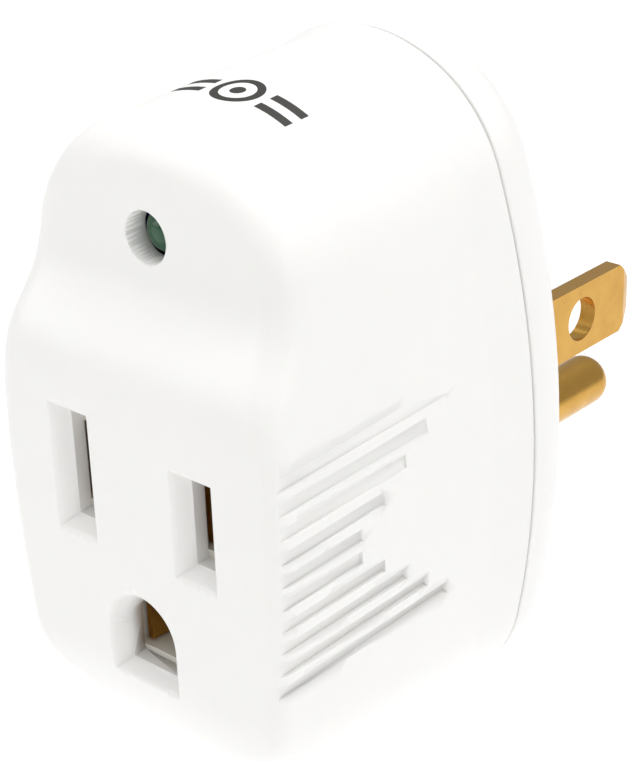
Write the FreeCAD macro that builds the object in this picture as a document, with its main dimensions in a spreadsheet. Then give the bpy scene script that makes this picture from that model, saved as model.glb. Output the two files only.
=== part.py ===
import FreeCAD, Part
import math
import os

import Sketcher

# A plug-in wall tap: one grounded outlet on the front, a grounded plug on the back, a surge
# circuit with a green indicator lamp between them.
#
# Frame: the origin is on the flat wall face, midway between the two blades. +Z is up, +X is to
# the right as the outlet is looked at, and +Y points into the wall, so the body lies at Y < 0
# and the blades at Y > 0. "Depth" below means distance from the wall face towards the room.

doc = FreeCAD.newDocument("WallTap")

# ---------------------------------------------------------------- driving dimensions (mm)
# A size that must follow another is a formula.
SIZES = {
    # body
    "body_depth": 35.5,
    "wall": 1.8,
    "back_wall": 2.4,
    "hollow_draw": 0.4,
    "rib_width": 1.6,
    "rail_overlap": 0.8,
    "rail_thickness": 1.2,
    "lip_inset": 1.3,
    "lip_thickness": 0.7,
    "lip_reach": 1.3,
    "face_wall": 2.6,
    "lamp_wall": 2.0,
    "seam_depth": 7.6,
    "seam_gap": 0.2,
    "waist_depth": 12.1,
    # outline of the housing at the front
    "front_half_width": 14.6,
    "front_top": 27.3,
    "front_bottom": -23.8,
    "front_mid_level": 1.0,
    "front_side_radius": 120.0,
    "front_crown_radius": 26.0,
    "front_corner_radius": 11.5,
    "front_chin_radius": 40.0,
    "front_jaw_radius": 9.2,
    # outline where the side begins to flare
    "waist_half_width": "=front_half_width + 1.1",
    "waist_top": 29.1,
    "waist_bottom": -26.3,
    "waist_mid_level": -2.0,
    "waist_side_radius": 78.0,
    "waist_crown_radius": 14.6,
    "waist_corner_radius": 13.0,
    "waist_chin_radius": 28.0,
    "waist_jaw_radius": 10.4,
    # outline at the seam
    "rim_half_width": "=waist_half_width + 0.8",
    "rim_top": 29.6,
    "rim_bottom": -27.2,
    "rim_mid_level": -2.4,
    "rim_side_radius": 75.0,
    "rim_crown_radius": 14.4,
    "rim_corner_radius": 12.8,
    "rim_chin_radius": 21.0,
    "rim_jaw_radius": 11.0,
    # shape of the front end, seen from the side
    "lamp_setback": 3.4,
    "step_low": 10.4,
    "step_high": 15.8,
    "face_bottom": -17.6,
    "chin_run": 4.0,
    "chin_level": -24.0,
    "face_edge_radius": 1.6,
    "step_radius": 8.0,
    "back_edge_radius": 6.6,
    # receptacle
    "blade_pitch": 12.7,
    "earth_drop": 11.89,
    "slot_width": 2.3,
    "neutral_slot_height": 8.8,
    "line_slot_height": 7.0,
    "slot_foot": -4.1,
    "lead_in": 1.0,
    "lead_in_depth": 1.4,
    "earth_opening_radius": 2.65,
    "earth_foot": -15.2,
    # finger grips
    "grip_count": 10,
    "grip_pitch": 1.9,
    "grip_top_level": 5.5,
    "grip_height": 1.1,
    "grip_cut": 0.3,
    "grip_start": 0.2,
    "grip_long": 18.4,
    "grip_short": 8.6,
    "grip_rise": 3.5,
    # plug
    "blade_thickness": 1.52,
    "blade_height": 6.35,
    "blade_reach": 19.4,
    "blade_hole_radius": 1.98,
    "blade_hole_reach": 11.9,
    "blade_corner": 1.7,
    "blade_coin": 0.4,
    "blade_coin_length": 1.1,
    "blade_tail": 11.0,
    "shoulder_height": 8.2,
    "pin_radius": 2.38,
    "pin_reach": 24.4,
    "pin_stem_radius": "=pin_radius - 0.18",
    "pin_nose": 1.9,
    "pin_collar_radius": "=pin_radius + 0.92",
    "pin_collar": 2.0,
    "pin_tail_radius": 1.5,
    "fit_gap": 0.1,
    # insides
    "carrier_half_width": "=front_half_width - 4.2",
    "carrier_top": 7.2,
    "carrier_bottom": -17.0,
    "carrier_depth": 15.0,
    "carrier_gap": 0.2,
    "holder_thickness": 3.0,
    "holder_half_width": "=front_half_width - 5",
    "holder_top": 6.0,
    "holder_bottom": -15.8,
    "sheet_thickness": 0.4,
    "sheet_back": 13.4,
    "leaf_thickness": 0.5,
    "clip_half_width": 1.9,
    "clip_half_height": 3.2,
    "clip_web_depth": 15.6,
    "clip_pinch": 0.45,
    "earth_clip_half_width": 3.0,
    "earth_clip_web_depth": 12.9,
    "earth_clip_pinch": 2.0,
    "earth_clip_half_height": 2.6,
    "clip_inset": 0.6,
    "clip_flare": 3.2,
    "clip_straight": 4.5,
    "clip_mouth_ease": 0.2,
    "strap_front": 23.0,
    "crank_front": 15.2,
    "crank_back": 12.4,
    "yoke_width": 4.6,
    "yoke_rise": 2.0,
    "yoke_hole_reach": 2.0,
    "bay_clearance": 0.8,
    "bay_depth": 6.75,
    "rivet_radius": 0.9,
    "rivet_head_radius": 1.5,
    "rivet_head": 0.5,
    "rivet_low_head": 0.25,
    "blade_rivet_depth": 8.4,
    "clip_rivet_depth": 18.4,
    "peen": 0.6,
    "strip_thickness": 0.8,
    "strip_half_height": 2.6,
    "board_level": 11.0,
    "board_thickness": 1.6,
    "board_half_width": "=front_half_width - 4",
    "board_back": 6.4,
    "board_length": 22.0,
    "lamp_level": 19.7,
    "lamp_radius": 1.9,
    "lamp_bore_radius": "=lamp_radius + 0.15",
    "lamp_tip_inset": 1.0,
    "varistor_radius": 4.5,
    "varistor_thickness": 4.0,
    "varistor_side": 7.2,
    "varistor_stand": 0.8,
    "varistor_lead_offset": 2.5,
    "varistor_edge_radius": 1.6,
    "varistor_right_front": 22.6,
    "varistor_right_back": 12.4,
    "varistor_left_front": 22.8,
    "coating_radius": 0.54,
    "coating_inset": 0.6,
    "fuse_length": 9.0,
    "fuse_radius": 1.9,
    "fuse_end_radius": 0.86,
    "fuse_taper": 0.9,
    "fuse_side": 8.0,
    "fuse_depth": 12.2,
    "fuse_rise": 2.6,
    "fuse_lead_run": 1.6,
    "sleeve_wall": 0.4,
    "sleeve_inset": 0.4,
    "small_part_side": 1.9,
    "small_part_depth": 15.6,
    "small_part_rise": 1.5,
    "small_lead_run": 1.3,
    "resistor_length": 6.2,
    "resistor_radius": 1.2,
    "resistor_waist_radius": 0.95,
    "diode_length": 4.6,
    "diode_radius": 1.15,
    "diode_waist_radius": 1.13,
    "axial_cap": 1.4,
    "axial_ease": 0.35,
    "axial_neck": 0.3,
    "lamp_back": 24.4,
    "lamp_lead_depth": 23.2,
    "lamp_lead_offset": 1.27,
    "lamp_flange": 1.0,
    "lamp_flange_rim": 0.4,
    "lamp_dome_radius": 1.7,
    "lamp_holder_rim": 0.7,
    "lamp_holder_half_width": 2.6,
    "lamp_holder_thickness": 3.0,
    "lead_radius": 0.3,
    "lead_bend": 0.8,
    "lead_stub": 0.8,
    "solder_foot_radius": 0.9,
    "solder_tip_radius": 0.42,
    "solder_height": 0.7,
    "wire_depth": 12.0,
    "wire_radius": 0.8,
    "wire_bend": 1.3,
    "wire_side": 5.2,
    "wire_low_turn": 5.8,
    "wire_high_turn": 8.2,
    "neutral_wire_foot": 7.4,
    "neutral_wire_run": 2.6,
    "line_wire_foot": 4.4,
    "line_wire_run": 3.0,
    "ground_wire_foot": 1.8,
    "ground_wire_turn": 5.0,
    "ground_wire_run": 3.4,
    # cover screws
    "screw_radius": 1.3,
    "screw_head_radius": 2.4,
    "screw_head": 1.6,
    "screw_length": 13.0,
    "screw_point": 1.5,
    "screw_tip_radius": 0.3,
    "screw_head_ease": 0.8,
    "recess_length": 2.6,
    "recess_width": 0.7,
    "recess_depth": 0.95,
    "screw_seat_depth": 3.0,
    "boss_radius": 2.7,
    "boss_length": 10.2,
    "top_screw_level": 20.5,
    "bottom_screw_level": -19.4,
}

sheet = doc.addObject("Spreadsheet::Sheet", "Sizes")
for row, (alias, number) in enumerate(SIZES.items(), start=1):
    sheet.set(f"A{row}", alias.replace("_", " "))
    sheet.set(f"B{row}", str(number))
    sheet.setAlias(f"B{row}", alias)
doc.recompute()


# ---------------------------------------------------------------- formulas, sketches, features
def bind(formula):
    """Put the sheet's name before each size in a formula, as an expression needs it."""
    words = []
    word = ""
    for letter in str(formula) + " ":
        if letter.isalnum() or letter in "_.":
            word += letter
            continue
        words.append("Sizes." + word if word in SIZES else word)
        words.append(letter)
        word = ""
    return "".join(words).strip()


def size(formula):
    """The number that a formula of sheet sizes gives."""
    return float(sheet.evalExpression(bind(formula)))


def new_body(name):
    body = doc.addObject("PartDesign::Body", name)
    body.Label = name
    return body


def new_sketch(body, name, plane, offset):
    """A sketch on one of the body's own planes, moved along the plane's normal.

    XZ looks from the room at the wall (its normal points to the room, so offset is a depth),
    YZ is the side view, XY the top view.
    """
    sketch = body.newObject("Sketcher::SketchObject", body.Name + "_" + name)
    origin = body.Origin.OriginFeatures
    base = [feature for feature in origin if feature.Role == plane + "_Plane"][0]
    sketch.AttachmentSupport = [(base, "")]
    sketch.MapMode = "FlatFace"
    sketch.setExpression(".AttachmentOffset.Base.z", bind(offset))
    return sketch


def hold(sketch, kind, *where):
    """A sizing constraint whose value is the last item, a formula of sheet sizes."""
    formula = where[-1]
    index = sketch.addConstraint(Sketcher.Constraint(kind, *where[:-1], size(formula)))
    sketch.setExpression(f"Constraints[{index}]", bind(formula))


def polygon(body, name, plane, offset, corners):
    """A closed outline of straight edges whose corners are pairs of formulas."""
    sketch = new_sketch(body, name, plane, offset)
    spots = [FreeCAD.Vector(size(a), size(b), 0) for a, b in corners]
    count = len(spots)
    for i in range(count):
        sketch.addGeometry(Part.LineSegment(spots[i], spots[(i + 1) % count]))
    for i in range(count):
        sketch.addConstraint(Sketcher.Constraint("Coincident", i, 2, (i + 1) % count, 1))
    for i, (a, b) in enumerate(corners):
        hold(sketch, "DistanceX", -1, 1, i, 1, a)
        hold(sketch, "DistanceY", -1, 1, i, 1, b)
    return sketch


def rectangle(body, name, plane, offset, low, high):
    """A rectangle between two opposite corners, each a pair of formulas."""
    corners = [low, (high[0], low[1]), high, (low[0], high[1])]
    return polygon(body, name, plane, offset, corners)


def circles(body, name, plane, offset, centres, radius):
    """Circles of one radius, centred on pairs of formulas."""
    sketch = new_sketch(body, name, plane, offset)
    for i, (a, b) in enumerate(centres):
        centre = FreeCAD.Vector(size(a), size(b), 0)
        sketch.addGeometry(Part.Circle(centre, FreeCAD.Vector(0, 0, 1), size(radius)))
        hold(sketch, "DistanceX", -1, 1, i, 3, a)
        hold(sketch, "DistanceY", -1, 1, i, 3, b)
        hold(sketch, "Radius", i, radius)
    return sketch


def crossing(first, first_radius, second, second_radius, up):
    """Where two circles cross: the upper of the two places, or the lower."""
    gap = second - first
    along = (first_radius ** 2 - second_radius ** 2 + gap.Length ** 2) / (2 * gap.Length)
    side = math.sqrt(first_radius ** 2 - along ** 2)
    unit = FreeCAD.Vector(gap).normalize()
    across = FreeCAD.Vector(-unit.y, unit.x, 0)
    spots = [first + unit * along + across * side, first + unit * along - across * side]
    spots.sort(key=lambda spot: spot.y)
    return spots[1] if up else spots[0]


def arc(centre, radius, start, end):
    """A counter-clockwise arc about a centre from one point to another."""
    begin = math.atan2(start.y - centre.y, start.x - centre.x)
    stop = math.atan2(end.y - centre.y, end.x - centre.x)
    return Part.ArcOfCircle(Part.Circle(centre, FreeCAD.Vector(0, 0, 1), radius), begin, stop)


def oval(body, name, offset, kind, inset="0"):
    """The body's outline seen from the room: eight arcs, each tangent to the next.

    A crown arc and a chin arc on the centre line, two long side arcs, and a tighter arc at each
    corner. The arcs run counter-clockwise from the right side. An inset moves every arc inwards.
    """
    inset = f"({inset})"
    half, level = f"{kind}_half_width - {inset}", f"{kind}_mid_level"
    top, bottom = f"{kind}_top - {inset}", f"{kind}_bottom + {inset}"
    side, crown, chin = (f"{kind}_{arc_name}_radius - {inset}" for arc_name in ("side", "crown", "chin"))
    corner, jaw = f"{kind}_corner_radius - {inset}", f"{kind}_jaw_radius - {inset}"
    side_x, crown_y, chin_y = f"({half}) - ({side})", f"({top}) - ({crown})", f"({bottom}) + ({chin})"

    right = FreeCAD.Vector(size(side_x), size(level), 0)
    upper = FreeCAD.Vector(0, size(crown_y), 0)
    lower = FreeCAD.Vector(0, size(chin_y), 0)
    corner_spot = crossing(right, size(side) - size(corner), upper, size(crown) - size(corner), True)
    jaw_spot = crossing(right, size(side) - size(jaw), lower, size(chin) - size(jaw), False)

    def touch(big, big_radius, small):
        return big + (small - big).normalize() * big_radius

    def flip(spot):
        return FreeCAD.Vector(-spot.x, spot.y, 0)

    side_top = touch(right, size(side), corner_spot)
    crown_end = touch(upper, size(crown), corner_spot)
    side_low = touch(right, size(side), jaw_spot)
    chin_end = touch(lower, size(chin), jaw_spot)
    left = flip(right)
    pieces = [
        arc(right, size(side), side_low, side_top),
        arc(corner_spot, size(corner), side_top, crown_end),
        arc(upper, size(crown), crown_end, flip(crown_end)),
        arc(flip(corner_spot), size(corner), flip(crown_end), flip(side_top)),
        arc(left, size(side), flip(side_top), flip(side_low)),
        arc(flip(jaw_spot), size(jaw), flip(side_low), flip(chin_end)),
        arc(lower, size(chin), flip(chin_end), chin_end),
        arc(jaw_spot, size(jaw), chin_end, side_low),
    ]
    sketch = new_sketch(body, name, "XZ", offset)
    sketch.addGeometry(pieces)
    for i in range(8):
        sketch.addConstraint(Sketcher.Constraint("Tangent", i, 2, (i + 1) % 8, 1))
    sketch.addConstraint(Sketcher.Constraint("PointOnObject", 2, 3, -2))
    sketch.addConstraint(Sketcher.Constraint("PointOnObject", 6, 3, -2))
    sketch.addConstraint(Sketcher.Constraint("Symmetric", 0, 3, 4, 3, -2))
    for i, radius in ((0, side), (4, side), (1, corner), (3, corner), (2, crown), (6, chin), (5, jaw), (7, jaw)):
        hold(sketch, "Radius", i, radius)
    hold(sketch, "DistanceX", -1, 1, 0, 3, side_x)
    hold(sketch, "DistanceY", -1, 1, 0, 3, level)
    hold(sketch, "DistanceY", -1, 1, 2, 3, crown_y)
    hold(sketch, "DistanceY", -1, 1, 6, 3, chin_y)
    return sketch


def earth_shape(body, name, offset, radius, foot):
    """The D of the earth opening: a half round top, straight sides and a flat foot."""
    sketch = new_sketch(body, name, "XZ", offset)
    reach, drop, low = size(radius), -size("earth_drop"), size(foot)
    centre = FreeCAD.Vector(0, drop, 0)
    corners = [(-reach, drop), (-reach, low), (reach, low), (reach, drop)]
    spots = [FreeCAD.Vector(x, z, 0) for x, z in corners]
    sketch.addGeometry(Part.ArcOfCircle(Part.Circle(centre, FreeCAD.Vector(0, 0, 1), reach), 0, math.pi))
    for start, end in zip(spots, spots[1:]):
        sketch.addGeometry(Part.LineSegment(start, end))
    for i, j in ((0, 1), (1, 2), (2, 3)):
        sketch.addConstraint(Sketcher.Constraint("Coincident", i, 2, j, 1))
    sketch.addConstraint(Sketcher.Constraint("Coincident", 3, 2, 0, 1))
    sketch.addConstraint(Sketcher.Constraint("PointOnObject", 0, 3, -2))
    sketch.addConstraint(Sketcher.Constraint("Vertical", 1))
    sketch.addConstraint(Sketcher.Constraint("Horizontal", 2))
    sketch.addConstraint(Sketcher.Constraint("Vertical", 3))
    sketch.addConstraint(Sketcher.Constraint("Symmetric", 0, 1, 0, 2, 0, 3))
    hold(sketch, "Radius", 0, radius)
    hold(sketch, "DistanceY", -1, 1, 0, 3, "-earth_drop")
    hold(sketch, "DistanceY", -1, 1, 1, 2, foot)
    return sketch


def feature(body, kind, name, sketch):
    """A PartDesign feature made from a sketch, hidden source and all."""
    made = body.newObject("PartDesign::" + kind, body.Name + "_" + name)
    made.Profile = sketch
    return made


def pad(body, name, sketch, length, midplane=False, reverse=False):
    made = feature(body, "Pad", name, sketch)
    made.setExpression("Length", bind(length))
    made.SideType = "Symmetric" if midplane else "One side"
    made.Reversed = reverse
    return made


def pocket(body, name, sketch, length=None, midplane=False, reverse=False):
    """A cut along the sketch's normal, or right through when no length is given."""
    made = feature(body, "Pocket", name, sketch)
    if length is None:
        made.Type = "ThroughAll"
    else:
        made.setExpression("Length", bind(length))
    made.SideType = "Symmetric" if midplane else "One side"
    made.Reversed = reverse
    doc.recompute()
    before = made.BaseFeature.Shape.Volume
    if not made.Shape.Volume < before - 1e-3:
        raise ValueError(made.Name + " cuts nothing")
    return made


def revolve(body, name, sketch, axis):
    made = feature(body, "Revolution", name, sketch)
    made.ReferenceAxis = (sketch, [axis])
    made.Angle = 360.0
    return made


def loft(body, kind, name, first, others):
    made = feature(body, kind, name, first)
    made.Sections = others
    made.Ruled = True
    doc.recompute()
    return made


def edges_where(shape, test):
    """The names of a shape's edges whose middle point passes a test."""
    names = []
    for i, edge in enumerate(shape.Edges, start=1):
        middle = edge.valueAt((edge.FirstParameter + edge.LastParameter) / 2)
        if test(middle, edge):
            names.append(f"Edge{i}")
    return names


def round_edges(body, name, test, radius):
    doc.recompute()
    base = body.Tip
    names = edges_where(base.Shape, test)
    if not names:
        raise ValueError(name + " finds no edge")
    made = body.newObject("PartDesign::Fillet", body.Name + "_" + name)
    made.Base = (base, names)
    made.setExpression("Radius", bind(radius))
    made.UseAllEdges = False
    doc.recompute()
    if "Invalid" in made.State or made.Shape.isNull():
        raise ValueError(made.Name + " failed")
    return made


def put_part(label, shape):
    """A sub-part whose shape is worked out by Part's own functions."""
    made = doc.addObject("Part::Feature", label)
    made.Label = label
    made.Shape = shape
    made.Placement = FreeCAD.Placement()
    return made


def near(value, target, margin=0.05):
    return abs(value - target) < margin


# ---------------------------------------------------------------- front housing
def shell_barrel(body):
    """The lofted outside of the housing: a long barrel, then the flared skirt."""
    face = oval(body, "face_outline", "body_depth", "front")
    waist = oval(body, "waist_outline", "waist_depth", "waist")
    waist_again = oval(body, "waist_outline_again", "waist_depth", "waist")
    rim = oval(body, "rim_outline", "seam_depth + seam_gap / 2", "rim")
    loft(body, "AdditiveLoft", "barrel", face, [waist])
    loft(body, "AdditiveLoft", "skirt", waist_again, [rim])


def shell_nose(body):
    """The front end seen from the side: chin, outlet face, eased step and lamp face."""
    front, lamp_face = "-body_depth", "-(body_depth - lamp_setback)"
    chin, clear = "-(body_depth - chin_run)", "-(body_depth + 10)"
    profile = polygon(body, "nose_profile", "YZ", "0", [
        (chin, "-60"), (chin, "chin_level"), (front, "face_bottom"), (front, "step_low"),
        (lamp_face, "step_high"), (lamp_face, "60"), (clear, "60"), (clear, "-60"),
    ])
    pocket(body, "nose", profile, midplane=True)

    def step_edge(level):
        return lambda middle, edge: near(middle.z, size(level)) and near(middle.x, 0)

    round_edges(body, "step_low_ease", step_edge("step_low"), "step_radius")
    round_edges(body, "step_high_ease", step_edge("step_high"), "step_radius")

    lamp_plane = -size("body_depth - lamp_setback")

    def face_rim(middle, edge):
        across = edge.BoundBox.XLength > size("front_half_width") and middle.z < size("front_top - wall")
        return middle.y < lamp_plane + 0.05 and middle.z > size("face_bottom") + 0.05 and not across

    round_edges(body, "face_rim", face_rim, "face_edge_radius")


def shell_cavity(body):
    """The hollow: the barrel's shape moved in by the wall, plus the recess behind the outlet."""
    back = oval(body, "hollow_rim", "seam_depth", "rim", "wall")
    waist = oval(body, "hollow_waist", "waist_depth", "waist", "wall")
    waist_again = oval(body, "hollow_waist_again", "waist_depth", "waist", "wall")
    lip = oval(body, "lip_rebate", "seam_depth", "rim", "lip_inset - fit_gap")
    deep = oval(body, "hollow_front", "body_depth - lamp_setback - lamp_wall", "front", "wall + hollow_draw")
    loft(body, "SubtractiveLoft", "hollow_skirt", back, [waist])
    loft(body, "SubtractiveLoft", "hollow_barrel", waist_again, [deep])
    pocket(body, "rebate", lip, "lip_reach + seam_gap", reverse=True)
    recess = rectangle(
        body, "carrier_recess", "XZ", "body_depth - face_wall",
        ("-(carrier_half_width + carrier_gap)", "carrier_bottom - carrier_gap"),
        ("carrier_half_width + carrier_gap", "carrier_top + carrier_gap"))
    pocket(body, "recess", recess, "body_depth / 3")


def shell_openings(body):
    """Two blade slots and the earth opening, each with a tapered lead-in, and the lamp hole."""
    lead_plane = "body_depth - lead_in_depth"
    for side, height in ((-1, "neutral_slot_height"), (1, "line_slot_height")):
        name = "neutral" if side < 0 else "line"
        low = (f"{side} * blade_pitch / 2 - slot_width / 2", "slot_foot")
        high = (f"{side} * blade_pitch / 2 + slot_width / 2", f"slot_foot + {height}")
        wide_low = (low[0] + " - lead_in", low[1] + " - lead_in")
        wide_high = (high[0] + " + lead_in", high[1] + " + lead_in")
        throat = rectangle(body, name + "_slot", "XZ", "body_depth", low, high)
        pocket(body, name + "_throat", throat, "face_wall + 1")
        mouth = rectangle(body, name + "_mouth", "XZ", "body_depth", wide_low, wide_high)
        narrow = rectangle(body, name + "_narrow", "XZ", lead_plane, low, high)
        loft(body, "SubtractiveLoft", name + "_lead_in", mouth, [narrow])
    throat = earth_shape(body, "earth_slot", "body_depth", "earth_opening_radius", "earth_foot")
    pocket(body, "earth_throat", throat, "face_wall + 1")
    mouth = earth_shape(body, "earth_mouth", "body_depth", "earth_opening_radius + lead_in",
                        "earth_foot - lead_in")
    narrow = earth_shape(body, "earth_narrow", lead_plane, "earth_opening_radius", "earth_foot")
    loft(body, "SubtractiveLoft", "earth_lead_in", mouth, [narrow])
    bore = circles(body, "lamp_hole", "XZ", "body_depth", [("0", "lamp_level")], "lamp_bore_radius")
    pocket(body, "lamp_bore", bore, "lamp_setback + lamp_wall + 1")


def shell_bosses(body):
    """Two posts for the cover screws, each tied to the nearest outer wall by a rib."""
    start = "seam_depth - seam_gap / 2"
    for name, level, wall_level in (("top", "top_screw_level", "waist_top - wall / 2"),
                                    ("bottom", "bottom_screw_level", "waist_bottom + wall / 2")):
        post = circles(body, name + "_post", "XZ", start, [("0", level)], "boss_radius")
        pad(body, name + "_boss", post, "boss_length")
        rib = rectangle(body, name + "_rib", "XZ", "waist_depth",
                        ("-rib_width / 2", level), ("rib_width / 2", wall_level))
        pad(body, name + "_web", rib, "boss_length - (waist_depth - seam_depth)")
        pilot = circles(body, name + "_pilot", "XZ", start, [("0", level)], "screw_radius + fit_gap / 2")
        pocket(body, name + "_hole", pilot, "boss_length - 1", reverse=True)


def shell_rails(body):
    """Two ledges along the side walls that carry the circuit board."""
    for name, side in (("left", -1), ("right", 1)):
        inner, outer = "board_half_width - rail_overlap", "front_half_width - wall"
        low, high = (f"-({outer})", f"-({inner})") if side < 0 else (inner, outer)
        ledge = rectangle(body, name + "_ledge", "XZ", "waist_depth",
                          (low, "board_level - rail_thickness"), (high, "board_level"))
        pad(body, name + "_rail", ledge, "body_depth - lamp_setback - lamp_wall / 2 - waist_depth")


def grip_cutters():
    """Shallow bars, parallel to the side walls, which cut the finger grips into both sides.

    They rise a little towards the back. Their rear ends step in towards the middle bar, so the
    group ends in an arrow shape.
    """
    cutters = []
    count = int(size("grip_count"))
    run = size("body_depth - waist_depth")
    draft = math.degrees(math.atan2(size("waist_half_width - front_half_width"), run))
    bend = (size("front_side_radius") + size("waist_side_radius")) / 2
    for index in range(count):
        level = size("grip_top_level") - index * size("grip_pitch")
        from_middle = abs(index - (count - 1) / 2) - 0.5
        share = f"{from_middle / (count / 2 - 1):.4f}"
        sag = (level - size("front_mid_level")) ** 2 / (2 * bend)
        for side in (-1, 1):
            bar = doc.addObject("Part::Box", f"grip_{'left' if side < 0 else 'right'}_{index + 1}")
            bar.setExpression("Length", bind("4 * grip_cut"))
            bar.setExpression("Width", bind(f"grip_short + (grip_long - grip_short) * {share}"))
            bar.setExpression("Height", bind("grip_height"))
            turn = FreeCAD.Rotation(FreeCAD.Vector(0, 0, 1), -draft if side > 0 else draft)
            turn = turn.multiply(FreeCAD.Rotation(FreeCAD.Vector(1, 0, 0), size("grip_rise")))
            floor_x = size("front_half_width - grip_cut") - sag
            place = FreeCAD.Vector(side * floor_x, -size("body_depth") + size("grip_start"), level)
            shift = FreeCAD.Vector(0 if side > 0 else -size("4 * grip_cut"), 0, -size("grip_height / 2"))
            bar.Placement = FreeCAD.Placement(place + turn.multVec(shift), turn)
            cutters.append(bar)
    return cutters


def front_housing():
    """White ABS shell with the outlet face, the lamp hole, the finger grips and screw posts."""
    body = new_body("front_shell")
    shell_barrel(body)
    shell_nose(body)
    shell_cavity(body)
    shell_openings(body)
    shell_bosses(body)
    shell_rails(body)
    doc.recompute()
    bars = doc.addObject("Part::Compound", "grip_bars")
    bars.Links = grip_cutters()
    cut = doc.addObject("Part::Cut", "front_housing")
    cut.Label = "front_housing"
    cut.Base = body
    cut.Tool = bars
    return cut


# ---------------------------------------------------------------- rear cover
def rear_cover():
    """White ABS cover: rounded back, slots for the blades and pin, two screw wells."""
    body = new_body("rear_cover")
    outline = oval(body, "outline", "0", "rim")
    pad(body, "plate", outline, "seam_depth - seam_gap / 2")
    round_edges(body, "back_edge", lambda middle, edge: near(middle.y, 0), "back_edge_radius")
    hollow = oval(body, "hollow", "back_wall", "rim", "wall")
    pocket(body, "inside", hollow, "seam_depth", reverse=True)
    floor_depth = -size("back_wall")
    round_edges(body, "inside_edge", lambda middle, edge: near(middle.y, floor_depth), "back_edge_radius - 2 * wall")
    tongue = oval(body, "tongue", "seam_depth - seam_gap / 2 - 1", "rim", "lip_inset")
    pad(body, "tongue_solid", tongue, "lip_reach + 1")
    bore = oval(body, "tongue_bore", "seam_depth - seam_gap / 2 - 1", "rim", "lip_inset + lip_thickness")
    pocket(body, "tongue_hollow", bore, "lip_reach + 2", reverse=True)
    for name, level in (("top", "top_screw_level"), ("bottom", "bottom_screw_level")):
        post = circles(body, name + "_post", "XZ", "back_wall / 2", [("0", level)],
                       "screw_head_radius + wall / 2 + fit_gap")
        pad(body, name + "_boss", post, "seam_depth - seam_gap / 2 - back_wall / 2")
        well = circles(body, name + "_well", "XZ", "0", [("0", level)], "screw_head_radius + fit_gap")
        pocket(body, name + "_seat", well, "screw_seat_depth", reverse=True)
        hole = circles(body, name + "_hole", "XZ", "0", [("0", level)], "screw_radius + fit_gap * 2")
        pocket(body, name + "_clearance", hole, "seam_depth + 1", reverse=True)
    for name, side in (("neutral", -1), ("line", 1)):
        half_thick, half_high = "blade_thickness / 2 + fit_gap", "blade_height / 2 + fit_gap"
        slot = rectangle(body, name + "_slot", "XZ", "0",
                         (f"{side} * blade_pitch / 2 - ({half_thick})", f"-({half_high})"),
                         (f"{side} * blade_pitch / 2 + {half_thick}", half_high))
        pocket(body, name + "_opening", slot, "back_wall + 1", reverse=True)
    hole = circles(body, "pin_hole", "XZ", "0", [("0", "-earth_drop")], "pin_radius + fit_gap")
    pocket(body, "pin_opening", hole, "back_wall + 1", reverse=True)
    return body


# ---------------------------------------------------------------- plug
def blade(name, side):
    """A brass blade: drilled and nosed outside, with shoulders and a riveted tail inside."""
    body = new_body(name)
    half, wide = "blade_height / 2", "shoulder_height / 2"
    inner, root = "-blade_tail", "-(back_wall + holder_thickness)"
    nose = "blade_reach - blade_corner"
    outline = polygon(body, "outline", "YZ", f"{side} * blade_pitch / 2", [
        (inner, f"-{wide}"), (root, f"-{wide}"), (root, f"-({half})"), (nose, f"-({half})"),
        ("blade_reach", f"-({half}) + blade_corner"), ("blade_reach", f"{half} - blade_corner"),
        (nose, half), (root, half), (root, wide), (inner, wide),
    ])
    pad(body, "flat", outline, "blade_thickness", midplane=True)
    hole = circles(body, "hole", "YZ", f"{side} * blade_pitch / 2", [("blade_hole_reach", "0")], "blade_hole_radius")
    pocket(body, "drilling", hole, midplane=True)
    rivet_hole = circles(body, "rivet_hole", "YZ", f"{side} * blade_pitch / 2", [("-blade_rivet_depth", "0")],
                         "rivet_radius")
    pocket(body, "rivet_drilling", rivet_hole, midplane=True)
    for sign in ("-", "+"):
        axis = f"{side} * blade_pitch / 2"
        skin = f"{axis} {sign} blade_thickness / 2"
        wedge = polygon(body, "coin_" + ("inner" if sign == "-" else "outer"), "XY", "0", [
            (f"{skin} {sign} 1", "blade_reach - blade_coin_length"), (skin, "blade_reach - blade_coin_length"),
            (f"{axis} {sign} (blade_thickness / 2 - blade_coin)", "blade_reach"),
            (f"{axis} {sign} (blade_thickness / 2 - blade_coin)", "blade_reach + 1"),
            (f"{skin} {sign} 1", "blade_reach + 1"),
        ])
        pocket(body, "coined_" + ("inner" if sign == "-" else "outer"), wedge, "blade_height + 2", midplane=True)
    return body


def ground_pin():
    """A round brass pin: domed nose outside, collar behind the holder, peened tail inside."""
    body = new_body("ground_pin")
    collar_face = "-(back_wall + holder_thickness)"
    collar_back = f"{collar_face} - pin_collar"
    end = f"{collar_back} - strip_thickness - peen"
    profile = polygon(body, "profile", "YZ", "0", [
        (end, "-earth_drop"), (end, "-earth_drop + pin_tail_radius + peen"),
        (f"{end} + peen", "-earth_drop + pin_tail_radius + peen"),
        (f"{end} + peen", "-earth_drop + pin_tail_radius"),
        (collar_back, "-earth_drop + pin_tail_radius"),
        (collar_back, "-earth_drop + pin_collar_radius"),
        (collar_face, "-earth_drop + pin_collar_radius"),
        (collar_face, "-earth_drop + pin_stem_radius"),
        ("0", "-earth_drop + pin_stem_radius"), ("0", "-earth_drop + pin_radius"),
        ("pin_reach", "-earth_drop + pin_radius"), ("pin_reach", "-earth_drop"),
    ])
    turned = revolve(body, "turned", profile, "Edge12")
    doc.recompute()
    reach = size("pin_reach")
    round_edges(body, "nose", lambda middle, edge: near(middle.y, reach), "pin_nose")
    return body


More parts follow.
